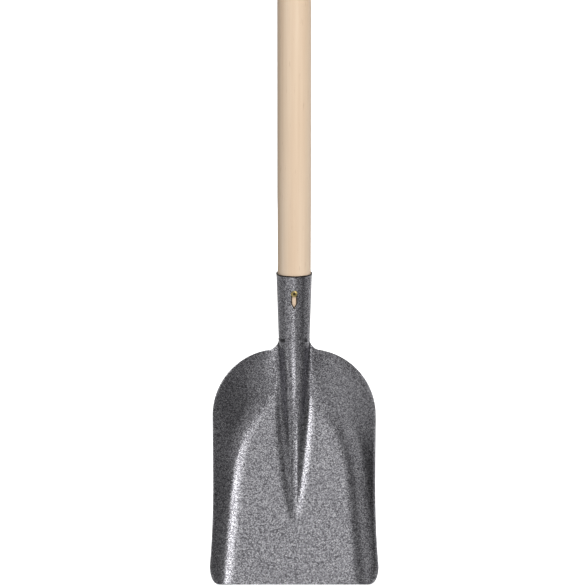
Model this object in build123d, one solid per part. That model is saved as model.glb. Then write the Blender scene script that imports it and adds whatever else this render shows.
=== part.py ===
from build123d import *
import math
import os

# Grain scoop shovel. Millimetres, +Z up along the handle.
# The origin is the middle of the cutting edge. The scoop opens towards -Y.

# Sheet-steel head
SHEET = 1.5                 # thickness of the steel
LIFT = 14.0                 # lean of the scoop's floor from the handle axis, degrees
AXIS_Y = 62.0               # the handle axis stands this far behind the cutting edge

# Floor of the scoop: straight sides that converge upwards, closed by a square-shouldered arch
FLOOR_HALF_TIP = 85.4       # half width of the floor at the cutting edge, to the middle of the fold
FLOOR_TAPER = 5.1           # each side leans inwards by this, degrees
ARCH_START_Z = 105.0        # the sides start to round into the arch here
ARCH_RISE = 110.0           # height of the arch above that
ARCH_REACH = 65.4           # its half width, out from a narrow straight top
ARCH_POWER = 2.6            # 2 would be an ellipse; more is squarer
DEEP_INSIDE = 0.3           # within this share of the arch a point is far inside the floor
WALL_ANGLE = 38.0           # rise of the side walls
DISH_ANGLE = 5.6            # rise of the rear dish
FOLD = 15.0                 # half width of the wide rounded fold around the floor

# Outline of the blade, seen square to its floor
TIP_HALF = 88.0             # half length of the straight cutting edge
CORNER_HALF = 99.8          # half width just above the rounded tip corners
CORNER_RISE = 21.0          # height of the tip corners
CORNER_LEAN = 1.0           # the corner's curve is steered from this far inside CORNER_HALF
WAIST_HALF = 93.4           # the long edge is drawn in towards this, and is 95 at its narrowest
WAIST_LOW_RISE = 85.0       # heights of the two points that steer the long edge
WAIST_HIGH_RISE = 140.0
SHOULDER_RADIUS = 80.0
SHOULDER_RISE = 200.0       # height of the shoulder arcs' centres
SHOULDER_X = 16.4           # distance of those centres from the middle
ROOT_RADIUS = 12.0          # fillet between shoulder and socket
BLANK_DEPTH = 120.0         # the block that is cut to this outline reaches this far to each side
BLANK_EXTRA = 40.0          # and this far above the fillet, before it is cut off at the socket
BLANK_LIMIT = 600.0         # size of the cube that holds everything below the socket

# Ridge that carries the socket's front down the blade
RIDGE_TIP_Z = 71.0          # the ridge runs out to a point here
RIDGE_FULL_Z = 180.0        # below this height the ridge narrows
RIDGE_HALF = 24.3           # half width over its feet, where it is full
RIDGE_POINTEDNESS = 0.42    # power of the narrowing towards the tip
RIDGE_TIP_HALF = 3.0        # half width kept at the very point
CREST_RADIUS = 12.0         # radius of the crest up to RIDGE_FULL_Z, from where it opens to the round socket
CREST_LEAN = 0.6            # the crest leaves its point with this share of the floor's lean
RIDGE_FOOT = 28.0           # radius where ridge meets floor, less where the ridge is too steep for it
RIDGE_LEAST = 0.01          # below the point the ridge is kept this high, so that its section has a shape

# Rolled socket
JOINT_Z = 286.0             # the sheet is a full half-round from here up
MOUTH_Z = 365.0             # top edge of the socket
SOCKET_MOUTH_R = 21.2       # outer radius at the mouth
SOCKET_TAPER = 0.033        # loss of radius per millimetre downwards
JOINT_LAP = 0.15            # the socket's wall is this much thicker, on each face, where it meets the blade
FLARE = 0.5                 # the rim opens by this much
FLARE_HEIGHT = 5.0
SEAM_GAP = 2.0              # open seam along the back
BACK_RISE = 36.0            # the back of the socket starts this far above its sides
SLOT_WIDTH = 6.2            # slot in the front of the socket
SLOT_BOTTOM_Z = 326.0
SLOT_TOP_Z = 346.2          # inside the screw's seat

# Fixing screw, through the top of the slot
SCREW_Z = 344.2
SCREW_HEAD_R = 3.9
SCREW_HEAD_DEPTH = 2.4      # cone under the head
SCREW_CROWN = 0.7           # raised centre of the head
SCREW_CROWN_EASE = 0.6      # the crown bends down at this share of the radius,
SCREW_CROWN_DROP = 0.75     # where this share of its height is left
SCREW_SHANK_R = 2.0
SCREW_LENGTH = 30.0
SCREW_POINT = 4.0           # length of the point
SCREW_TIP_R = 0.4
RECESS_SPAN = 4.4           # cross recess, tip to tip
RECESS_WIDTH = 0.9
RECESS_DEPTH = 1.6

# Handle
HANDLE_R = 20.0
HANDLE_LENGTH = 1200.0
HANDLE_END_Z = 252.0        # rounded lower end, inside the ridge
HANDLE_END_R = 11.5
HANDLE_STRAIGHT_Z = 457.0   # full diameter from here up
HANDLE_DOME = 9.0           # height of the domed top end
WOOD_PLAY = 0.03            # gap between wood and steel, and round the screw

# Net of points that carries the pressed surface
ROW_START = -12.0
ROW_STEP = 5.0
ROW_COUNT = 63
RIDGE_STEPS = 18
PAN_STEPS = 26
WING_HALF = CORNER_HALF + 8
SKIN_TOLERANCE = 0.05

TAN_LIFT = math.tan(math.radians(LIFT))
FRONT_SKIN = SHEET / 2 / math.cos(math.radians(LIFT))


def socket_radius(z):
    """Outer radius of the socket's cone."""
    return SOCKET_MOUTH_R - (MOUTH_Z - z) * SOCKET_TAPER


def floor_y(z):
    """Front face of the flat floor."""
    return z * TAN_LIFT - FRONT_SKIN


def folded(rise):
    """A rise that starts at zero with a rounded fold instead of a crease."""
    if rise <= -FOLD:
        return 0.0
    if rise >= FOLD:
        return rise
    return (rise + FOLD) ** 2 / (4 * FOLD)


def outside_floor(x, z):
    """How far a point lies outside the floor's outline, and its direction: 0 sideways, 1 upwards."""
    lean = z * math.tan(math.radians(FLOOR_TAPER))
    across = max(abs(x) + lean - (FLOOR_HALF_TIP - ARCH_REACH), 0.0) / ARCH_REACH
    above = max(z - ARCH_START_Z, 0.0) / ARCH_RISE
    reach = (across ** ARCH_POWER + above ** ARCH_POWER) ** (1 / ARCH_POWER)
    if reach < DEEP_INSIDE:
        return -ARCH_REACH, 0.0
    slope_x = (across / reach) ** (ARCH_POWER - 1) / ARCH_REACH
    slope_z = (above / reach) ** (ARCH_POWER - 1) / ARCH_RISE
    return (reach - 1) / math.hypot(slope_x, slope_z), math.atan2(slope_z, slope_x) / (math.pi / 2)


def ridge_share(z):
    """Width of the ridge at one height, as a share of its full width."""
    return min(max((z - RIDGE_TIP_Z) / (RIDGE_FULL_Z - RIDGE_TIP_Z), 0.0), 1.0) ** RIDGE_POINTEDNESS


def socket_share(z):
    """How far the section has opened from the ridge into the round socket."""
    return max((z - RIDGE_FULL_Z) / (JOINT_Z - RIDGE_FULL_Z), 0.0)


def pan_y(x, z):
    """Front face of the scoop without its ridge: floor, side walls and rear dish."""
    outside, turn = outside_floor(x, z)
    angle = WALL_ANGLE + (DISH_ANGLE - WALL_ANGLE) * turn * turn * (3 - 2 * turn)
    return floor_y(z) - folded(outside) * math.tan(math.radians(angle))


def crest_y(z):
    """Front line of the ridge: it leaves the floor smoothly at its point and runs into the socket's front."""
    length = JOINT_Z - RIDGE_TIP_Z
    along = (z - RIDGE_TIP_Z) / length
    if along <= 0:
        return floor_y(z)
    if along >= 1:
        return AXIS_Y - socket_radius(z)
    start, end = floor_y(RIDGE_TIP_Z), AXIS_Y - socket_radius(JOINT_Z)
    leaving, arriving = CREST_LEAN * TAN_LIFT * length, -SOCKET_TAPER * length
    rest = 1 - along
    return (rest * rest * ((1 + 2 * along) * start + along * leaving)
            + along * along * ((3 - 2 * along) * end - rest * arriving))


def ridge_profile(z, steps):
    """Half of the ridge's section, as (x, height above the pan).

    A cap circle and a foot circle are joined by the straight flank that touches both.
    """
    height = max(pan_y(0, z) - crest_y(z), RIDGE_LEAST)
    opening = socket_share(z)
    joint_foot = pan_y(0, JOINT_Z) - AXIS_Y
    joint_half = socket_radius(JOINT_Z) + joint_foot
    cap = CREST_RADIUS + (socket_radius(JOINT_Z) - CREST_RADIUS) * opening
    foot = RIDGE_FOOT + (joint_foot - RIDGE_FOOT) * opening
    half = RIDGE_HALF * ridge_share(z) + (joint_half - RIDGE_HALF) * opening
    half = max(half, RIDGE_TIP_HALF)
    foot = min(foot, (height ** 2 + half ** 2) / (2 * height) - cap)
    radii = cap + foot
    between = math.hypot(half, height - radii)
    slope = math.atan2(height - radii, half) + math.asin(min(radii / between, 1.0))
    flank = math.sqrt(max(between ** 2 - radii ** 2, 0.0))
    c, s = math.cos(slope), math.sin(slope)
    length = radii * slope + flank
    points = []
    for i in range(steps + 1):
        along = length * i / steps
        if along < cap * slope:
            turn = along / cap
            points.append((cap * math.sin(turn), height - cap * (1 - math.cos(turn))))
        elif along < cap * slope + flank:
            down = along - cap * slope
            points.append((cap * s + down * c, height - cap * (1 - c) - down * s))
        else:
            turn = (length - along) / foot
            points.append((half - foot * math.sin(turn), foot * (1 - math.cos(turn))))
    return points


def section(z):
    """Front face of the sheet across the whole width, at one height."""
    half = [(x, pan_y(x, z) - rise) for x, rise in ridge_profile(z, RIDGE_STEPS)]
    foot_x = half[-1][0]
    for i in range(1, PAN_STEPS + 1):
        x = foot_x + (WING_HALF - foot_x) * i / PAN_STEPS
        half.append((x, pan_y(x, z)))
    mirrored = [(-x, y) for x, y in reversed(half[1:])]
    return [Vector(x, y, z) for x, y in mirrored + half]


def offset_rows(rows, distance):
    """The same net of points, moved square to the surface towards the back."""
    last_row, last_point = len(rows) - 1, len(rows[0]) - 1
    moved = []
    for j, row in enumerate(rows):
        line = []
        for i, point in enumerate(row):
            across = row[min(i + 1, last_point)] - row[max(i - 1, 0)]
            up = rows[min(j + 1, last_row)][i] - rows[max(j - 1, 0)][i]
            line.append(point + up.cross(across).normalized() * distance)
        moved.append(line)
    return moved


def on_circle(centre, radius, angle):
    """Point on a circle, at an angle in radians."""
    return (centre[0] + radius * math.cos(angle), centre[1] + radius * math.sin(angle))


def blade_blank():
    """The blade's outline as a block, extruded square to the floor and cut off at the socket."""
    neck = socket_radius(JOINT_Z) + 2 * JOINT_LAP
    shoulder = (SHOULDER_X, SHOULDER_RISE)
    reach = SHOULDER_RADIUS + ROOT_RADIUS
    fillet_x = neck + ROOT_RADIUS
    fillet = (fillet_x, SHOULDER_RISE + math.sqrt(reach ** 2 - (fillet_x - SHOULDER_X) ** 2))
    toward = math.atan2(fillet[1] - SHOULDER_RISE, fillet[0] - SHOULDER_X)
    shoulder_start = on_circle(shoulder, SHOULDER_RADIUS, 0)
    shoulder_middle = on_circle(shoulder, SHOULDER_RADIUS, toward / 2)
    shoulder_end = on_circle(shoulder, SHOULDER_RADIUS, toward)
    fillet_middle = on_circle(fillet, ROOT_RADIUS, toward / 2 + math.pi)
    corner = (CORNER_HALF, CORNER_RISE)
    waist_high = (shoulder_start[0], WAIST_HIGH_RISE)
    top = fillet[1] + BLANK_EXTRA
    lift = math.radians(LIFT)
    floor_plane = Plane((0, 0, 0), x_dir=(1, 0, 0), z_dir=(0, -math.cos(lift), math.sin(lift)))
    with BuildSketch(floor_plane) as outline:
        with BuildLine():
            Line((0, 0), (TIP_HALF, 0))
            Bezier((TIP_HALF, 0), (CORNER_HALF - CORNER_LEAN, 0), corner)
            Bezier(corner, (WAIST_HALF, WAIST_LOW_RISE), waist_high, shoulder_start)
            ThreePointArc(shoulder_start, shoulder_middle, shoulder_end)
            ThreePointArc(shoulder_end, fillet_middle, (neck, fillet[1]))
            Polyline((neck, fillet[1]), (neck, top), (0, top), (0, 0))
        make_face()
        mirror(about=Plane.YZ)
    block = extrude(outline.sketch, amount=BLANK_DEPTH, both=True)
    return block & (Pos(0, 0, JOINT_Z - BLANK_LIMIT / 2) * Box(BLANK_LIMIT, BLANK_LIMIT, BLANK_LIMIT))


def blade():
    """Pressed sheet from the cutting edge up to the socket's joint."""
    rows = [section(ROW_START + ROW_STEP * i) for i in range(ROW_COUNT)]
    front = Face.make_surface_from_array_of_points(rows, tol=SKIN_TOLERANCE, min_deg=3, max_deg=3)
    back = Face.make_surface_from_array_of_points(
        offset_rows(rows, SHEET), tol=SKIN_TOLERANCE, min_deg=3, max_deg=3)
    behind_front = split(blade_blank(), bisect_by=front, keep=Keep.BOTH).solids().sort_by(Axis.Y)[-1]
    return split(behind_front, bisect_by=back, keep=Keep.BOTH).solids().sort_by(Axis.Y)[0]


def around_axis(profile):
    """Solid of revolution about the handle axis, from (radius, z) points."""
    points = [(radius, AXIS_Y, z) for radius, z in profile]
    face = make_face(Polyline(*points, close=True))
    return revolve(face, Axis((0, AXIS_Y, 0), (0, 0, 1)))


def socket():
    """Rolled tube above the blade, with its open seam and its oblique lower end at the back."""
    neck_z = MOUTH_Z - FLARE_HEIGHT
    foot, neck, mouth = socket_radius(JOINT_Z), socket_radius(neck_z), socket_radius(MOUTH_Z) + FLARE
    outside = [(foot + JOINT_LAP, JOINT_Z), (neck, neck_z), (mouth, MOUTH_Z)]
    inside = [(mouth - SHEET, MOUTH_Z), (neck - SHEET, neck_z), (foot - SHEET - JOINT_LAP, JOINT_Z)]
    tube = around_axis(outside + inside)
    tube -= Pos(0, AXIS_Y + foot, (JOINT_Z + MOUTH_Z) / 2) * Box(SEAM_GAP, foot, MOUTH_Z)
    rear_cut = make_face(Polyline(
        (0, AXIS_Y, JOINT_Z), (0, AXIS_Y + 2 * foot, JOINT_Z + 2 * BACK_RISE),
        (0, AXIS_Y + 2 * foot, JOINT_Z - SHEET), (0, AXIS_Y, JOINT_Z - SHEET), close=True))
    return tube - extrude(rear_cut, amount=2 * foot, dir=(1, 0, 0), both=True)


def slot_cutter():
    """Slot through the front of the socket, round above and pointed below."""
    half = SLOT_WIDTH / 2
    low, high = SLOT_BOTTOM_Z + 2 * half, SLOT_TOP_Z - half
    with BuildSketch(Plane.XZ) as shape:
        with BuildLine():
            Polyline((half, high), (half, low), (0, SLOT_BOTTOM_Z), (-half, low), (-half, high))
            ThreePointArc((-half, high), (0, SLOT_TOP_Z), (half, high))
        make_face()
    return extrude(shape.sketch, amount=-AXIS_Y)


def screw_body(gap):
    """The screw without its recess, grown by a gap on every side."""
    face_y = AXIS_Y - socket_radius(SCREW_Z)
    crown = (SCREW_HEAD_R * SCREW_CROWN_EASE, -SCREW_CROWN * SCREW_CROWN_DROP - gap)
    profile = [
        (0, -SCREW_CROWN - gap), crown, (SCREW_HEAD_R + gap, 0),
        (SCREW_SHANK_R + gap, SCREW_HEAD_DEPTH), (SCREW_SHANK_R + gap, SCREW_LENGTH - SCREW_POINT),
        (SCREW_TIP_R + gap, SCREW_LENGTH + gap), (0, SCREW_LENGTH + gap)]
    points = [(radius, face_y + depth, SCREW_Z) for radius, depth in profile]
    return revolve(make_face(Polyline(*points, close=True)), Axis((0, 0, SCREW_Z), (0, 1, 0)))


def fixing_screw():
    """Countersunk wood screw with a cross recess."""
    face_y = AXIS_Y - socket_radius(SCREW_Z) - SCREW_CROWN
    arm = Pos(0, face_y, SCREW_Z) * Box(RECESS_SPAN, 2 * RECESS_DEPTH, RECESS_WIDTH)
    return screw_body(0) - arm - arm.rotate(Axis((0, 0, SCREW_Z), (0, 1, 0)), 90)


def scoop_head():
    """Blade and socket, one piece of sheet, with the slot and the screw's seat."""
    return blade() + socket() - slot_cutter() - screw_body(WOOD_PLAY)


def handle():
    """Wooden shaft, tapered into the socket and rounded at both ends."""
    top = HANDLE_END_Z + HANDLE_LENGTH
    fit = SHEET + WOOD_PLAY
    low_r, mouth_r = socket_radius(JOINT_Z) - JOINT_LAP - fit, socket_radius(MOUTH_Z) - fit
    with BuildSketch(Plane.XZ) as half:
        with BuildLine():
            Line((0, HANDLE_END_Z), (0, top))
            Spline((0, top), (HANDLE_R, top - HANDLE_DOME), tangents=[(1, 0), (0, -1)])
            Polyline((HANDLE_R, top - HANDLE_DOME), (HANDLE_R, HANDLE_STRAIGHT_Z), (mouth_r, MOUTH_Z),
                     (low_r, JOINT_Z), (HANDLE_END_R, HANDLE_END_Z + HANDLE_END_R))
            Spline((HANDLE_END_R, HANDLE_END_Z + HANDLE_END_R), (0, HANDLE_END_Z),
                   tangents=[(0, -1), (-1, 0)])
        make_face()
    shaft = revolve(half.sketch, Axis.Z)
    return Pos(0, AXIS_Y, 0) * shaft - screw_body(WOOD_PLAY)


def main():
    os.makedirs("parts", exist_ok=True)
    for make in (scoop_head, handle, fixing_screw):
        export_step(make(), f"parts/{make.__name__}.step")


main()
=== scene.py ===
import math
import bmesh
import bpy
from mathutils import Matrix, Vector


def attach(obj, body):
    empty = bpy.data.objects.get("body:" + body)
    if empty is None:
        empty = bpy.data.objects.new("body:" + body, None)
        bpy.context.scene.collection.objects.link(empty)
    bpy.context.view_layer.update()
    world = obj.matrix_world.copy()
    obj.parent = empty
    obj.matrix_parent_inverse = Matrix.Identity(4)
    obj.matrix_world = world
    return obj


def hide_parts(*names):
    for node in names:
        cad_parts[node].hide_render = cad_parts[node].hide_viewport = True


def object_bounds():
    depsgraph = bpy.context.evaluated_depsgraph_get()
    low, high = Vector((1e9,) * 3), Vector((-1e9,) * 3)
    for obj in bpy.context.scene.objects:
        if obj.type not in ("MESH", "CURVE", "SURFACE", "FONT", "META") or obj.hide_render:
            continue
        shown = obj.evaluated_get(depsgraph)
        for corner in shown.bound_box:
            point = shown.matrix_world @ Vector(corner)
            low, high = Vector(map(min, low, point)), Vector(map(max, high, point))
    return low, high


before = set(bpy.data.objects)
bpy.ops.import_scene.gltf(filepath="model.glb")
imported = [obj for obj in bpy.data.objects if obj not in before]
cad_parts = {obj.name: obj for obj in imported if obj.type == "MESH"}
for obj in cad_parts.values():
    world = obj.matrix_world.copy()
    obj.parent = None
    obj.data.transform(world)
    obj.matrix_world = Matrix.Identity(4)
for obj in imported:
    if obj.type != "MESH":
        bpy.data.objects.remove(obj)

CAD_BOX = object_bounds()
MM = 0.001


def smooth(obj):
    for polygon in obj.data.polygons:
        polygon.use_smooth = True


# Head: one pressed sheet, built as a grid over its front skin. Millimetres and degrees ------------
# The outline lies half a millimetre further in than the CAD's, because the rounded rim adds to it.
SHEET = 1.5
LIFT = math.radians(14)
AXIS_Y = 62.0
FLOOR_HALF_TIP, FLOOR_TAPER = 85.4, math.tan(math.radians(5.1))
ARCH_START_Z, ARCH_RISE, ARCH_REACH, ARCH_POWER = 105.0, 110.0, 65.4, 2.6
DEEP_INSIDE = 0.3           # within this share of the arch a point is far inside the floor
WALL_ANGLE, DISH_ANGLE, FOLD = 38.0, 5.6, 15.0
TIP_HALF, CORNER_HALF, CORNER_RISE, CORNER_LEAN = 88.0, 99.3, 21.0, 1.0
WAIST_HALF, WAIST_LOW_RISE, WAIST_HIGH_RISE = 93.4, 85.0, 140.0
SHOULDER_X, SHOULDER_RISE, SHOULDER_RADIUS = 16.4, 200.0, 79.4
ROOT_RADIUS = 12.6
RIDGE_TIP_Z, RIDGE_FULL_Z, RIDGE_HALF, RIDGE_POWER = 71.0, 180.0, 24.3, 0.42
CREST_RADIUS, CREST_LEAN, RIDGE_FOOT, RIDGE_TIP_HALF = 12.0, 0.6, 28.0, 3.0
RIDGE_LEAST = 0.01          # below its point the ridge is kept this high, so that its section has a shape
JOINT_Z, MOUTH_Z = 286.0, 365.0
MOUTH_R, SOCKET_TAPER, FLARE, FLARE_HEIGHT = 21.2, 0.033, 0.5, 5.0
SEAM_HALF = 1.0
BACK_RISE = 36.0
SLOT_HALF, SLOT_BOTTOM, SLOT_TOP = 3.1, 326.0, 346.2
RIM_SQUASH = 0.75           # the enamelled edge is a little flatter than a half round
SCREW_Z, SCREW_HEAD_R = 344.2, 3.9


def socket_radius(z):
    return MOUTH_R - (MOUTH_Z - z) * SOCKET_TAPER


def ramp_up(value, low, high):
    return min(max((value - low) / (high - low), 0.0), 1.0)


def folded(rise):
    if abs(rise) < FOLD:
        return (rise + FOLD) ** 2 / (4 * FOLD)
    return max(rise, 0.0)


def outside_floor(x, z):
    """How far a point lies outside the floor's outline, and its direction: 0 sideways, 1 upwards."""
    across = max(abs(x) + z * FLOOR_TAPER - (FLOOR_HALF_TIP - ARCH_REACH), 0.0) / ARCH_REACH
    above = max(z - ARCH_START_Z, 0.0) / ARCH_RISE
    reach = (across ** ARCH_POWER + above ** ARCH_POWER) ** (1 / ARCH_POWER)
    if reach < DEEP_INSIDE:
        return -ARCH_REACH, 0.0
    slope_x = (across / reach) ** (ARCH_POWER - 1) / ARCH_REACH
    slope_z = (above / reach) ** (ARCH_POWER - 1) / ARCH_RISE
    return (reach - 1) / math.hypot(slope_x, slope_z), math.atan2(slope_z, slope_x) / (math.pi / 2)


def ridge_share(z):
    """Width of the ridge at one height, as a share of its full width."""
    return ramp_up(z, RIDGE_TIP_Z, RIDGE_FULL_Z) ** RIDGE_POWER


def floor_y(z):
    return z * math.tan(LIFT) - SHEET / 2 / math.cos(LIFT)


def pan_y(x, z):
    """Front face of the scoop without its ridge."""
    outside, turn = outside_floor(x, z)
    angle = WALL_ANGLE + (DISH_ANGLE - WALL_ANGLE) * turn * turn * (3 - 2 * turn)
    return floor_y(z) - folded(outside) * math.tan(math.radians(angle))


def crest_y(z):
    """Front line of the ridge, from its point on the floor into the socket's front."""
    length = JOINT_Z - RIDGE_TIP_Z
    along = ramp_up(z, RIDGE_TIP_Z, JOINT_Z)
    start, end = floor_y(RIDGE_TIP_Z), AXIS_Y - socket_radius(JOINT_Z)
    leaving, arriving = CREST_LEAN * math.tan(LIFT) * length, -SOCKET_TAPER * length
    rest = 1 - along
    curve = (rest * rest * ((1 + 2 * along) * start + along * leaving)
             + along * along * ((3 - 2 * along) * end - rest * arriving))
    return curve if along > 0 else floor_y(z)


def ridge(z):
    """Cap and foot radii, half width, height, flank slope and flank length of the ridge at one height."""
    height = max(pan_y(0, z) - crest_y(z), RIDGE_LEAST)
    opening = ramp_up(z, RIDGE_FULL_Z, JOINT_Z)
    joint_foot = pan_y(0, JOINT_Z) - AXIS_Y
    cap = CREST_RADIUS + (socket_radius(JOINT_Z) - CREST_RADIUS) * opening
    foot = RIDGE_FOOT + (joint_foot - RIDGE_FOOT) * opening
    half = RIDGE_HALF * ridge_share(z) + (socket_radius(JOINT_Z) + joint_foot - RIDGE_HALF) * opening
    half = max(half, RIDGE_TIP_HALF)
    foot = min(foot, (height ** 2 + half ** 2) / (2 * height) - cap)
    between = math.hypot(half, height - cap - foot)
    slope = math.atan2(height - cap - foot, half) + math.asin(min((cap + foot) / between, 1.0))
    flank = math.sqrt(max(between ** 2 - (cap + foot) ** 2, 0.0))
    return cap, foot, half, height, slope, flank


def cap_point(z, share):
    """Point on the cap and flank: share 0 is the crest, 1 is the bottom of the flank."""
    if z >= JOINT_Z:
        turn = share * math.pi / 2
        radius = tube_radius(z)
        return radius * math.sin(turn), AXIS_Y - radius * math.cos(turn)
    cap, _, _, height, slope, flank = ridge(z)
    along = share * (cap * slope + flank)
    turn = min(along / cap, slope)
    down = max(along - cap * slope, 0.0)
    x = cap * math.sin(turn) + down * math.cos(slope)
    rise = height - cap * (1 - math.cos(turn)) - down * math.sin(slope)
    return x, pan_y(x, z) - rise


def tube_radius(z):
    flare = ramp_up(z, MOUTH_Z - FLARE_HEIGHT, MOUTH_Z)
    return socket_radius(z) + FLARE * flare * flare


def foot_point(z, share, limit):
    """Point on the foot fillet: share 0 is the flank's bottom, 1 is the pan or the outline's limit."""
    _, foot, half, _, slope, _ = ridge(z)
    last = math.asin(min(max((half - min(limit, half)) / foot, 0.0), math.sin(slope)))
    turn = slope + (last - slope) * share
    x = half - foot * math.sin(turn)
    return x, pan_y(x, z) - foot * (1 - math.cos(turn))


def on_circle(centre, radius, turn):
    return centre[0] + radius * math.cos(turn), centre[1] + radius * math.sin(turn)


def bezier(points, t):
    while len(points) > 1:
        points = [tuple(a + (b - a) * t for a, b in zip(p, q)) for p, q in zip(points, points[1:])]
    return points[0]


NECK = socket_radius(JOINT_Z)
SHOULDER = (SHOULDER_X, SHOULDER_RISE)
FILLET = (NECK + ROOT_RADIUS, SHOULDER_RISE + math.sqrt(
    (SHOULDER_RADIUS + ROOT_RADIUS) ** 2 - (NECK + ROOT_RADIUS - SHOULDER_X) ** 2))
FILLET_TURN = math.atan2(FILLET[1] - SHOULDER_RISE, FILLET[0] - SHOULDER_X)


CORNER_STEPS, SIDE_STEPS, SHOULDER_STEPS, FILLET_STEPS = 10, 40, 50, 16


def outline():
    """The blade's edge from the end of the cutting edge to the socket, in the floor's own plane."""
    corner = (CORNER_HALF, CORNER_RISE)
    start = on_circle(SHOULDER, SHOULDER_RADIUS, 0)
    round_corner = [(TIP_HALF, 0), (CORNER_HALF - CORNER_LEAN, 0), corner]
    long_side = [corner, (WAIST_HALF, WAIST_LOW_RISE), (start[0], WAIST_HIGH_RISE), start]
    path = [bezier(round_corner, i / CORNER_STEPS) for i in range(CORNER_STEPS)]
    path += [bezier(long_side, i / SIDE_STEPS) for i in range(SIDE_STEPS)]
    path += [on_circle(SHOULDER, SHOULDER_RADIUS, FILLET_TURN * i / SHOULDER_STEPS)
             for i in range(SHOULDER_STEPS)]
    path += [on_circle(FILLET, ROOT_RADIUS, math.pi + FILLET_TURN * (1 - i / FILLET_STEPS))
             for i in range(FILLET_STEPS + 1)]
    return path


LIFT_ROUNDS, FILLET_ROUNDS = 12, 8       # repeats after which these heights and widths have settled


def lift_z(x, v):
    """Height at which the pan's front face stands v up the floor's own plane."""
    z = v
    for _ in range(LIFT_ROUNDS):
        z = (v - math.sin(LIFT) * pan_y(x, z)) / math.cos(LIFT)
    return z


def floor_v(x, z):
    return z * math.cos(LIFT) + pan_y(x, z) * math.sin(LIFT)


def resample(path, count):
    """Points at equal steps along a polyline."""
    lengths = [0.0]
    for p, q in zip(path, path[1:]):
        lengths.append(lengths[-1] + math.dist(p, q))
    points, k = [], 0
    for i in range(count + 1):
        goal = lengths[-1] * i / count
        while k < len(path) - 2 and lengths[k + 1] < goal:
            k += 1
        part = (goal - lengths[k]) / max(lengths[k + 1] - lengths[k], 1e-9)
        points.append(tuple(a + (b - a) * min(part, 1.0) for a, b in zip(path[k], path[k + 1])))
    return points


BLADE_ROWS, ROOT_ROWS = 104, 8
PAN_COLUMNS, FOOT_COLUMNS, CAP_COLUMNS, BACK_COLUMNS = 38, 6, 16, 14
SLOT_SHARE = SLOT_HALF / (socket_radius(SLOT_TOP) * math.pi / 2)


def slot_half(z):
    """Half width of the slot: pointed below, round above."""
    if z > SLOT_TOP - SLOT_HALF:
        return math.sqrt(max(SLOT_HALF ** 2 - (z - SLOT_TOP + SLOT_HALF) ** 2, 0.0))
    return SLOT_HALF * ramp_up(z, SLOT_BOTTOM, SLOT_BOTTOM + 2 * SLOT_HALF)


def cap_shares(z):
    edge = SLOT_SHARE
    if SLOT_BOTTOM <= z <= SLOT_TOP:
        edge = slot_half(z) / (socket_radius(z) * math.pi / 2)
    return [0.0] + [edge + (1 - edge) * i / (CAP_COLUMNS - 1) for i in range(CAP_COLUMNS)]


def both_sides(right):
    """A whole row from its right half, which starts in the middle."""
    return [(-x, y, z) for x, y, z in reversed(right[1:])] + right


def cap_row(z):
    return [(*cap_point(z, share), z) for share in cap_shares(z)]


def foot_row(z, limit):
    return [(*foot_point(z, i / FOOT_COLUMNS, limit), z) for i in range(1, FOOT_COLUMNS + 1)]


def fillet_limit(z):
    """Half width allowed by the root fillet at one height."""
    x = NECK + ROOT_RADIUS
    for _ in range(FILLET_ROUNDS):
        up = floor_v(x, z) - FILLET[1]
        x = FILLET[0] - math.sqrt(max(ROOT_RADIUS ** 2 - up ** 2, 0.0))
    return x


CROSSING_SEARCH = 25.0      # the crossing lies within this distance below the joint
CROSSING_HALVINGS = 40
CROSSING_CLEAR = 3.0        # outline points nearer to the crossing than this are left out


def root_crossing():
    """Height at which the root fillet cuts into the ridge's foot."""
    low, high = JOINT_Z - CROSSING_SEARCH, JOINT_Z
    for _ in range(CROSSING_HALVINGS):
        middle = (low + high) / 2
        if fillet_limit(middle) > ridge(middle)[2]:
            low = middle
        else:
            high = middle
    return low


def blade_rows():
    """Rows across the blade from the cutting edge to the crossing, and the crossing's height."""
    crossing = root_crossing()
    first = lift_z(0, 0)
    last_half = ridge(crossing)[2]
    last_v = floor_v(last_half, crossing)
    edge = [p for p in outline() if p[1] < last_v or p[0] > last_half + CROSSING_CLEAR]
    edge = [p for p in edge if p[0] > last_half] + [(last_half, last_v)]
    edge = resample(edge, BLADE_ROWS)
    rows = []
    for j in range(BLADE_ROWS + 1):
        z = first + (crossing - first) * j / BLADE_ROWS
        half = ridge(z)[2]
        row = cap_row(z) + foot_row(z, half)
        inner_v = floor_v(half, z)
        for i in range(1, PAN_COLUMNS + 1):
            part = i / PAN_COLUMNS
            x = half + (edge[j][0] - half) * part
            height = lift_z(x, inner_v + (edge[j][1] - inner_v) * part)
            row.append((x, pan_y(x, height), height))
        rows.append(both_sides(row))
    return rows, crossing


def root_rows(crossing):
    """Rows across the root, from the crossing to the joint."""
    rows = []
    for j in range(ROOT_ROWS + 1):
        z = crossing + (JOINT_Z - crossing) * j / ROOT_ROWS
        limit = ridge(z)[2] if j == 0 else min(fillet_limit(z), ridge(z)[2])
        limit = NECK if j == ROOT_ROWS else limit
        rows.append(both_sides(cap_row(z) + foot_row(z, limit)))
    return rows


def spread(low, high, count):
    return [low + (high - low) * i / count for i in range(count)]


def tube_heights():
    """Heights of the socket's rows, closer together along the slot and the flare."""
    stops = [(JOINT_Z, 16), (SLOT_BOTTOM, 6), (SLOT_BOTTOM + 2 * SLOT_HALF, 6), (SLOT_TOP - SLOT_HALF, 6),
             (SLOT_TOP, 4), (MOUTH_Z - FLARE_HEIGHT, 6), (MOUTH_Z, 0)]
    heights = []
    for (low, count), (high, _) in zip(stops, stops[1:]):
        heights += spread(low, high, count)
    return heights + [MOUTH_Z]


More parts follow.
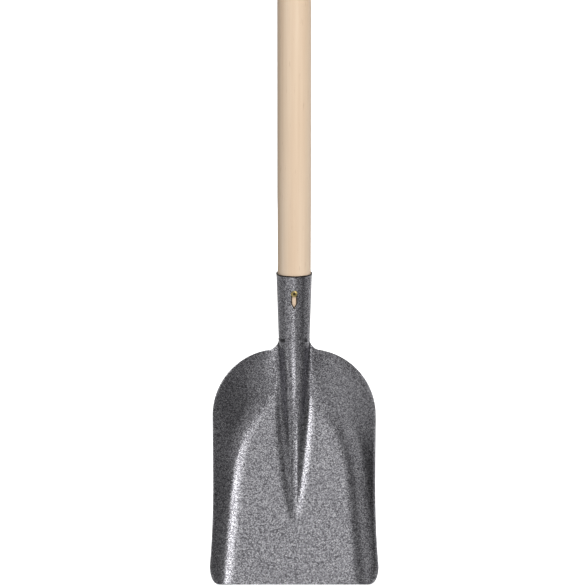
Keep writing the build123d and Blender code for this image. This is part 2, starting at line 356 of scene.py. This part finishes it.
def tube_back(side):
    """Rows of the socket's back, from its side to the seam, above the oblique lower edge."""
    rows = []
    for z in tube_heights():
        row = []
        for i in range(BACK_COLUMNS + 1):
            seam = math.acos(SEAM_HALF / socket_radius(z)) + math.pi / 2
            turn = math.pi / 2 + (seam - math.pi / 2) * i / BACK_COLUMNS
            start = JOINT_Z + BACK_RISE * -math.cos(turn)
            height = start + (MOUTH_Z - start) * (z - JOINT_Z) / (MOUTH_Z - JOINT_Z)
            radius = tube_radius(height)
            row.append((side * radius * math.sin(turn), AXIS_Y - radius * math.cos(turn), height))
        rows.append(row if side > 0 else row[::-1])
    return rows


def in_slot(z_low, z_high, column):
    middle = CAP_COLUMNS
    return SLOT_BOTTOM <= z_low and z_high <= SLOT_TOP and column in (middle - 1, middle)


WELD_DIGITS = 3             # points equal to this many decimals are one
WELD = 0.01                 # and so are those closer than this, in millimetres


def head_grid():
    """Vertices and faces of the head's front skin, welded."""
    vertices, faces, known = [], [], {}

    def vertex(point):
        key = tuple(round(value, WELD_DIGITS) for value in point)
        if key not in known:
            known[key] = len(vertices)
            vertices.append(point)
        return known[key]

    def add_rows(rows, skip=None):
        for low, high in zip(rows, rows[1:]):
            for c in range(len(low) - 1):
                if skip and skip(low[c][2], high[c][2], c):
                    continue
                corners = [vertex(p) for p in (low[c], low[c + 1], high[c + 1], high[c])]
                ring = [a for a, b in zip(corners, corners[1:] + corners[:1]) if a != b]
                if len(set(ring)) >= 3:
                    faces.append(ring)

    rows, crossing = blade_rows()
    add_rows(rows)
    add_rows(root_rows(crossing))
    add_rows([both_sides(cap_row(z)) for z in tube_heights()], in_slot)
    add_rows(tube_back(1))
    add_rows(tube_back(-1))
    return vertices, faces


RIM_STEPS = 6


def head_mesh():
    """The pressed sheet with its full thickness and a rounded, enamelled rim."""
    points, quads = head_grid()
    sheet = bmesh.new()
    verts = [sheet.verts.new(p) for p in points]
    for ring in quads:
        sheet.faces.new([verts[i] for i in ring])
    bmesh.ops.remove_doubles(sheet, verts=sheet.verts[:], dist=WELD)
    bmesh.ops.recalc_face_normals(sheet, faces=sheet.faces[:])
    sheet.normal_update()
    sheet.verts.ensure_lookup_table()
    sheet.verts.index_update()
    front_facing = sum(face.normal.y * face.calc_area() for face in sheet.faces) < 0
    outward = 1 if front_facing else -1
    front = [v.co.copy() for v in sheet.verts]
    normal = [v.normal * outward for v in sheet.verts]      # points away from the sheet, to the front
    count = len(front)
    coords = front + [p - n * SHEET for p, n in zip(front, normal)]
    faces = []
    for face in sheet.faces:
        ring = [v.index for v in face.verts]
        ring = ring if front_facing else ring[::-1]
        faces.append(ring)
        faces.append([i + count for i in reversed(ring)])
    skins = len(faces)
    away = {}
    rim = [edge for edge in sheet.edges if len(edge.link_faces) == 1]
    for edge in rim:
        centre = edge.link_faces[0].calc_center_median()
        a, b = edge.verts
        along = (b.co - a.co).normalized()
        side = along.cross(normal[a.index] + normal[b.index]).normalized()
        if side.dot((a.co + b.co) / 2 - centre) < 0:
            side = -side
        for v in edge.verts:
            away[v.index] = away.get(v.index, Vector()) + side
    rings = {}
    for i, side in away.items():
        side = side.normalized()
        chain = [i]
        for k in range(1, RIM_STEPS):
            turn = math.pi * k / RIM_STEPS
            centre = front[i] - normal[i] * SHEET / 2
            coords.append(centre + normal[i] * SHEET / 2 * math.cos(turn)
                          + side * SHEET / 2 * RIM_SQUASH * math.sin(turn))
            chain.append(len(coords) - 1)
        rings[i] = chain + [i + count]
    for edge in rim:
        face = edge.link_faces[0]
        order = [v.index for v in face.verts]
        a, b = (v.index for v in edge.verts)
        if (order.index(a) + 1) % len(order) != order.index(b):
            a, b = b, a
        if not front_facing:
            a, b = b, a
        for k in range(RIM_STEPS):
            faces.append([rings[b][k], rings[a][k], rings[a][k + 1], rings[b][k + 1]])
    sheet.free()
    mesh = bpy.data.meshes.new("head")
    mesh.from_pydata([tuple(Vector(p) * MM) for p in coords], [], faces)
    mesh.update()
    for polygon in mesh.polygons[skins:]:
        # rim faces at the slot and the mouth's inner half take the dark edge material, which is partly
        # painted shade
        polygon.material_index = int(is_cut_edge(coords[polygon.vertices[0]]))
    return mesh


def is_cut_edge(point):
    """Whether a rim point lies on the slot or on the inner half of the socket's mouth."""
    x, y, z = point
    if z > MOUTH_Z - SHEET:
        return math.hypot(x, y - AXIS_Y) < MOUTH_R + FLARE - SHEET / 3
    return z > SLOT_BOTTOM - SHEET and y < AXIS_Y


def head():
    obj = bpy.data.objects.new("pressed_scoop_head", head_mesh())
    bpy.context.scene.collection.objects.link(obj)
    smooth(obj)
    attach(obj, "root")
    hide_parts("scoop_head")
    return obj


# Materials ---------------------------------------------------------------------------------------
class Nodes:
    """A short way to write the node tree of a material or a world."""

    def __init__(self, owner, shader="ShaderNodeBsdfPrincipled", output="ShaderNodeOutputMaterial"):
        owner.use_nodes = True
        self.owner = owner
        self.tree = owner.node_tree
        self.tree.nodes.clear()
        self.output = self.tree.nodes.new(output)
        self.shader = self.tree.nodes.new(shader)
        self.link(self.shader.outputs[0], self.output.inputs["Surface"])

    def link(self, source, target):
        self.tree.links.new(source, target)

    def add(self, kind, inputs=None, **settings):
        node = self.tree.nodes.new(kind)
        for key, value in settings.items():
            setattr(node, key, value)
        for key, value in (inputs or {}).items():
            if isinstance(value, bpy.types.NodeSocket):
                self.link(value, node.inputs[key])
            else:
                node.inputs[key].default_value = value
        return node

    def position(self, scale=(1, 1, 1)):
        """Object coordinates in metres, stretched."""
        coords = self.add("ShaderNodeTexCoord")
        mapping = self.add("ShaderNodeMapping", {"Vector": coords.outputs["Object"], "Scale": scale})
        return mapping.outputs[0]

    def noise(self, vector, scale, detail=2.0, roughness=0.5):
        return self.add("ShaderNodeTexNoise", {"Vector": vector, "Scale": scale, "Detail": detail,
                                               "Roughness": roughness}).outputs["Fac"]

    def ramp(self, value, stops):
        node = self.add("ShaderNodeValToRGB", {"Fac": value})
        elements = node.color_ramp.elements
        while len(elements) < len(stops):
            elements.new(0.5)
        for element, (place, colour) in zip(elements, stops):
            element.position = place
            element.color = (*colour, 1)
        return node.outputs["Color"]

    def grey(self, value, stops):
        return self.ramp(value, [(place, (level, level, level)) for place, level in stops])

    def math(self, operation, a, b=0.0, c=0.0):
        return self.add("ShaderNodeMath", {0: a, 1: b, 2: c}, operation=operation).outputs[0]

    def mix(self, factor, a, b):
        node = self.add("ShaderNodeMix", {"Factor": factor}, data_type="RGBA")
        for socket, value in ((node.inputs[6], a), (node.inputs[7], b)):
            if isinstance(value, bpy.types.NodeSocket):
                self.link(value, socket)
            else:
                socket.default_value = (*value, 1)
        return node.outputs[2]

    def set(self, **values):
        for key, value in values.items():
            socket = self.shader.inputs[key.replace("_", " ")]
            if isinstance(value, bpy.types.NodeSocket):
                self.link(value, socket)
            else:
                socket.default_value = (*value, 1) if isinstance(value, tuple) else value


CELLS_PER_METRE = 950.0
WARPS_PER_METRE, WARP_SIZE = 420.0, 0.0012     # the cells are pulled out of shape by this much, in metres
PATCHES_PER_METRE = 60.0
CREASE_DEPTH = 0.0001
# colour of the band along the slot and the mouth: bare steel's colour plus painted shade of the gap between
# sheet and wood
DARK_EDGE_AND_SHADE = (0.035, 0.023, 0.014)


def edge_distance(n):
    """Millimetres from the edge of the socket's slot or mouth; the screw's head covers the slot's top."""
    split = n.add("ShaderNodeSeparateXYZ", {0: n.position((1 / MM, 1 / MM, 1 / MM))})
    height = split.outputs["Z"]
    across = n.math("ABSOLUTE", split.outputs["X"])
    slot = n.math("SUBTRACT", across, SLOT_HALF)
    pointed_half = n.math("MULTIPLY_ADD", height, 0.5, -SLOT_BOTTOM / 2)
    slot = n.math("MAXIMUM", slot, n.math("SUBTRACT", across, pointed_half))
    slot = n.math("MAXIMUM", slot, n.math("SUBTRACT", height, SLOT_TOP - SLOT_HALF))
    slot = n.math("MAXIMUM", slot, n.math("SUBTRACT", split.outputs["Y"], AXIS_Y))
    return n.math("MINIMUM", slot, n.math("SUBTRACT", MOUTH_Z, height))


def hammertone():
    """Silver-grey hammer enamel: bright metallic cells parted by a dark net of creases, with a dark band
    along the slot and the mouth that is partly bare steel and partly painted shade.
    """
    n = Nodes(bpy.data.materials.new("head_hammertone"))
    place = n.position()
    warp = n.add("ShaderNodeTexNoise", {"Vector": place, "Scale": WARPS_PER_METRE, "Detail": 2.0})
    bent = n.add("ShaderNodeVectorMath", {0: warp.outputs["Color"], 1: (WARP_SIZE,) * 3},
                 operation="MULTIPLY")
    bent = n.add("ShaderNodeVectorMath", {0: place, 1: bent.outputs[0]}, operation="ADD").outputs[0]
    cells = n.add("ShaderNodeTexVoronoi", {"Vector": bent, "Scale": CELLS_PER_METRE}, feature="F1")
    edges = n.add("ShaderNodeTexVoronoi", {"Vector": bent, "Scale": CELLS_PER_METRE},
                  feature="DISTANCE_TO_EDGE")
    chance = n.add("ShaderNodeSeparateColor", {0: cells.outputs["Color"]}).outputs[0]
    net = n.grey(edges.outputs["Distance"], [(0.0, 0.0), (0.10, 0.55), (0.32, 1.0)])
    level = n.math("MULTIPLY", net, n.math("MULTIPLY_ADD", chance, 0.75, 0.25))
    patch = n.noise(place, PATCHES_PER_METRE, 3.0)
    tone = n.ramp(level, [(0.0, (0.035, 0.032, 0.036)), (0.2, (0.145, 0.14, 0.155)),
                          (0.5, (0.66, 0.655, 0.70)), (1.0, (1.0, 0.995, 1.0))])
    tone = n.mix(n.grey(patch, [(0.35, 0.0), (0.65, 0.12)]), tone, (0.40, 0.395, 0.425))
    # painted shade: the enamel is darkened within about a millimetre of the slot and the mouth, partly as
    # the cut edge's bare steel, partly as the unlit gap to the wood underneath
    thin_enamel_and_shade = n.grey(n.math("MULTIPLY", edge_distance(n), 0.5), [(0.25, 0.92), (0.6, 0.0)])
    tone = n.mix(thin_enamel_and_shade, tone, DARK_EDGE_AND_SHADE)
    bump = n.add("ShaderNodeBump", {"Height": level, "Strength": 0.25, "Distance": CREASE_DEPTH})
    n.set(Base_Color=tone, Metallic=0.95, Roughness=0.16, Normal=bump.outputs[0])
    return n.owner


def cut_edge_and_shade():
    """Dark brown scale on the steel's cut edges, where the enamel thins out; its darkness is partly painted
    shade of the slot's unlit sides and of the gap between the mouth and the wood.
    """
    n = Nodes(bpy.data.materials.new("head_cut_edge"))
    scale = n.noise(n.position(), 900.0, 3.0)
    n.set(Base_Color=n.ramp(scale, [(0.35, (0.020, 0.012, 0.007)), (0.7, (0.065, 0.040, 0.022))]),
          Metallic=0.2, Roughness=0.6)
    return n.owner


def birch():
    """Pale sanded wood: fine lengthwise fibres, faint growth bands and short dark flecks."""
    n = Nodes(bpy.data.materials.new("handle_birch"))
    fibre = n.noise(n.position((900, 900, 14)), 1.0, 4.0, 0.6)
    bands = n.noise(n.position((62, 62, 1.6)), 1.0, 3.0, 0.55)
    flecks = n.noise(n.position((520, 520, 62)), 1.0, 2.0, 0.5)
    wide = n.noise(n.position((14, 14, 2.2)), 1.0, 2.0, 0.5)
    base = n.ramp(bands, [(0.30, (0.735, 0.550, 0.385)), (0.5, (0.80, 0.63, 0.465)),
                          (0.72, (0.84, 0.685, 0.53))])
    base = n.mix(n.grey(fibre, [(0.35, 0.0), (0.75, 0.30)]), base, (0.70, 0.50, 0.33))
    base = n.mix(n.grey(flecks, [(0.66, 0.0), (0.74, 0.32)]), base, (0.52, 0.33, 0.19))
    base = n.mix(n.grey(wide, [(0.4, 0.0), (0.7, 0.25)]), base, (0.87, 0.72, 0.58))
    height = n.math("ADD", n.math("MULTIPLY", fibre, 0.7), n.math("MULTIPLY", flecks, 0.3))
    bump = n.add("ShaderNodeBump", {"Height": height, "Strength": 0.25, "Distance": 0.0002})
    n.set(Base_Color=base, Roughness=n.grey(fibre, [(0.3, 0.52), (0.7, 0.66)]), Normal=bump.outputs[0],
          Specular_IOR_Level=0.35)
    return n.owner


def yellow_zinc():
    """Yellow passivated zinc: gold with faint clouding and fine turning marks, with painted shade in the
    recess and darker towards the head's rim.
    """
    n = Nodes(bpy.data.materials.new("screw_yellow_zinc"))
    cloud = n.noise(n.position(), 700.0, 3.0)
    tone = n.ramp(cloud, [(0.3, (0.50, 0.36, 0.11)), (0.5, (0.64, 0.50, 0.20)),
                          (0.7, (0.52, 0.44, 0.26))])
    scratch = n.noise(n.position((3000, 400, 3000)), 1.0, 2.0)
    bump = n.add("ShaderNodeBump", {"Height": scratch, "Strength": 0.2, "Distance": 0.00005})
    split = n.add("ShaderNodeSeparateXYZ", {0: n.position()})
    across = split.outputs["X"]
    above = n.math("SUBTRACT", split.outputs["Z"], SCREW_Z * MM)
    squares = n.math("ADD", n.math("MULTIPLY", across, across), n.math("MULTIPLY", above, above))
    share = n.math("MULTIPLY", n.math("SQRT", squares), 1 / (SCREW_HEAD_R * MM))
    # painted shade: dark in the middle of the head where the cross recess is; the colour also darkens again
    # towards the head's rim
    painted_shade_and_dark_rim = n.grey(share, [(0.32, 0.97), (0.62, 0.0), (0.9, 0.0), (1.0, 0.7)])
    tone = n.mix(painted_shade_and_dark_rim, tone, (0.03, 0.022, 0.012))
    n.set(Base_Color=tone, Metallic=1.0, Roughness=n.grey(cloud, [(0.3, 0.25), (0.7, 0.4)]),
          Normal=bump.outputs[0])
    return n.owner


def studio_white():
    """Pale floor and wall that glow from the object backwards, and are clear when seen from behind."""
    n = Nodes(bpy.data.materials.new("studio_white"))
    split = n.add("ShaderNodeSeparateXYZ", {0: n.position()})
    glow = n.grey(n.math("MULTIPLY_ADD", split.outputs["Y"], 1.0, 1.0), [(0.3, 0.0), (0.8, 1.0)])
    n.set(Base_Color=(0.8, 0.8, 0.8), Roughness=0.9, Emission_Color=(1.0, 1.0, 1.0), Emission_Strength=glow)
    from_behind = n.add("ShaderNodeNewGeometry").outputs["Backfacing"]
    clear = n.add("ShaderNodeBsdfTransparent").outputs[0]
    seen = n.add("ShaderNodeMixShader", {0: from_behind, 1: n.shader.outputs[0], 2: clear})
    n.link(seen.outputs[0], n.output.inputs["Surface"])
    return n.owner


def dress(name, material):
    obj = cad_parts[name]
    obj.data.materials.clear()
    obj.data.materials.append(material)
    smooth(obj)


head_materials = head().data.materials
head_materials.append(hammertone())
head_materials.append(cut_edge_and_shade())
dress("handle", birch())
dress("fixing_screw", yellow_zinc())


# Studio ------------------------------------------------------------------------------------------
def area_light(name, place, target, size, power):
    data = bpy.data.lights.new(name, "AREA")
    data.shape = "RECTANGLE"
    data.size, data.size_y = size
    data.energy = power
    obj = bpy.data.objects.new(name, data)
    bpy.context.scene.collection.objects.link(obj)
    obj.location = place
    obj.rotation_euler = (Vector(target) - Vector(place)).to_track_quat("-Z", "Y").to_euler()
    return obj


FLOOR_GAP = 0.0005          # the floor lies this far below the cutting edge
CURVE_STEPS = 16


def cyclorama():
    """Floor that curves up into a back wall."""
    width, front, back, radius, top = 9.0, -9.0, 2.6, 1.6, 6.0
    floor_z = CAD_BOX[0][2] - FLOOR_GAP
    path = [(front, floor_z), (back - radius, floor_z)]
    for i in range(1, CURVE_STEPS + 1):
        turn = math.radians(90) * i / CURVE_STEPS
        path.append((back - radius + radius * math.sin(turn), floor_z + radius * (1 - math.cos(turn))))
    path.append((back, top))
    vertices = [(x, y, z) for y, z in path for x in (-width, width)]
    faces = [(2 * i, 2 * i + 1, 2 * i + 3, 2 * i + 2) for i in range(len(path) - 1)]
    mesh = bpy.data.meshes.new("studio_floor")
    mesh.from_pydata(vertices, [], faces)
    obj = bpy.data.objects.new("studio_floor", mesh)
    bpy.context.scene.collection.objects.link(obj)
    mesh.materials.append(studio_white())
    smooth(obj)
    obj.visible_glossy = False
    obj.visible_diffuse = False


SENSOR = 36.0
FRAME_WIDTH = 0.696         # metres across the picture, at the object
ELEVATION = math.radians(12)
DISTANCE = 6.0
CLIP_END = 50.0
UP = Vector((0, math.sin(ELEVATION), math.cos(ELEVATION)))
TARGET = UP * 0.3471 + Vector((-0.002, 0, 0))


def camera():
    data = bpy.data.cameras.new("camera")
    data.sensor_width = SENSOR
    data.lens = SENSOR * DISTANCE / FRAME_WIDTH
    data.clip_end = CLIP_END
    obj = bpy.data.objects.new("camera", data)
    bpy.context.scene.collection.objects.link(obj)
    back = Vector((0, -math.cos(ELEVATION), math.sin(ELEVATION)))
    obj.location = TARGET + back * DISTANCE
    obj.rotation_euler = (-back).to_track_quat("-Z", "Y").to_euler()
    bpy.context.scene.camera = obj


MIDDLE = Vector((0, 0, 0.22))            # middle of the blade


def around(yaw, elevation, distance):
    """A place around the blade: yaw 0 is in front, positive is to the right, seen from the front."""
    yaw, elevation = math.radians(yaw), math.radians(elevation)
    return Vector((math.sin(yaw) * math.cos(elevation), -math.cos(yaw) * math.cos(elevation),
                   math.sin(elevation))) * distance + MIDDLE


# What the steel mirrors: brightness all round, in degrees from the front, positive to the right
WORLD_STRENGTH = 4.0
ABOVE = [(-180, 0.5), (-110, 0.6), (-96, 0.3), (-74, 0.06), (-60, 0.05), (-44, 0.40), (-34, 0.17),
         (-24, 0.16), (-14, 0.32), (4, 0.83), (12, 1.2), (19, 2.2), (35, 3.4), (37, 0.25), (50, 0.06),
         (64, 0.03), (84, 0.12), (110, 0.9), (180, 1.0)]
LEVEL = [(-180, 0.5), (-110, 0.16), (-84, 0.08), (-72, 0.05), (-64, 0.22), (-50, 0.44), (-34, 0.46),
         (-20, 0.30), (-4, 0.42), (12, 0.24), (22, 0.38), (36, 0.50), (44, 0.28), (60, 0.14), (78, 0.10),
         (100, 0.03), (116, 0.5), (180, 1.0)]
LOW = [(-180, 0.5), (-110, 0.02), (-76, 0.02), (-68, 0.12), (-58, 0.56), (-20, 0.41), (-9, 1.7), (5, 1.95),
       (13, 0.38), (28, 0.42), (52, 0.38), (62, 0.24), (76, 0.17), (90, 0.0), (108, 0.0), (116, 0.5),
       (180, 1.0)]
BELOW = [(-180, 0.6), (-110, 0.40), (-78, 0.34), (-66, 0.38), (-52, 0.54), (-20, 0.58), (-10, 0.90),
         (-2, 0.75), (6, 0.52), (14, 0.36), (24, 0.24), (38, 0.32), (60, 0.13), (70, 0.15), (82, 0.33),
         (110, 0.45), (180, 0.8)]
BANDS = [(-13, -10, LOW), (-3, 1, LEVEL), (4, 8, ABOVE)]     # each takes over between two elevations


def surroundings():
    """A studio painted in bands: strip light and dark flags above, a low front card, pale floor below."""
    world = bpy.data.worlds.new("studio_world")
    bpy.context.scene.world = world
    n = Nodes(world, "ShaderNodeBackground", "ShaderNodeOutputWorld")
    direction = n.add("ShaderNodeTexCoord").outputs["Generated"]
    axes = n.add("ShaderNodeSeparateXYZ", {0: direction})
    yaw = n.math("ARCTAN2", axes.outputs["X"], n.math("MULTIPLY", axes.outputs["Y"], -1.0))
    share = n.math("MULTIPLY_ADD", yaw, 0.5 / math.pi, 0.5)
    height = n.math("MULTIPLY_ADD", axes.outputs["Z"], 0.5, 0.5)

    def band(levels):
        return n.grey(share, [((degrees + 180) / 360, level / WORLD_STRENGTH) for degrees, level in levels])

    def height_of(elevation):
        return 0.5 + 0.5 * math.sin(math.radians(elevation))

    level = band(BELOW)
    for start, end, levels in BANDS:
        factor = n.grey(height, [(height_of(start), 0.0), (height_of(end), 1.0)])
        level = n.mix(factor, level, band(levels))
    n.set(Color=level, Strength=WORLD_STRENGTH)


def handle_light():
    """A broad soft light from the front that falls on the wood alone."""
    only = bpy.data.collections.new("lit_by_handle_light")
    only.objects.link(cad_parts["handle"])
    place = around(yaw=14, elevation=25, distance=2.6)
    light = area_light("handle_light", place, target=(0, 0, 0.6), size=(5.0, 1.6), power=51)
    light.light_linking.receiver_collection = only


def studio():
    cyclorama()
    surroundings()
    handle_light()
    bpy.context.scene.view_settings.view_transform = "Standard"


studio()
camera()
